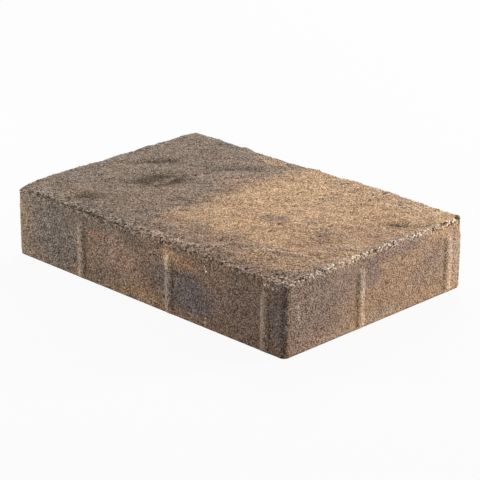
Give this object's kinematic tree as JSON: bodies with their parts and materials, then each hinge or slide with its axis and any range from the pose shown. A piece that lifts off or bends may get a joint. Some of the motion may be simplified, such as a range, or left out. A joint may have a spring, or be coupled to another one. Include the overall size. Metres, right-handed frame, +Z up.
{
  "type": "concrete paver",
  "caption": "Rectangular dry-cast concrete paver with an uneven stone-like wearing face, rounded corners and upright spacer nibs on its sides, laid flat on a bed.",
  "frame": {"origin": "centre of the bed face, on the ground", "axes": "+X along the long sides, +Y across, +Z up through the wearing face"},
  "size_m": [0.305, 0.203, 0.06],
  "materials": {
    "concrete": "rough dry-cast concrete, mottled charcoal and tan"
  },
  "bodies": {
    "root": {"paver": "concrete"}
  },
  "joints": []
}
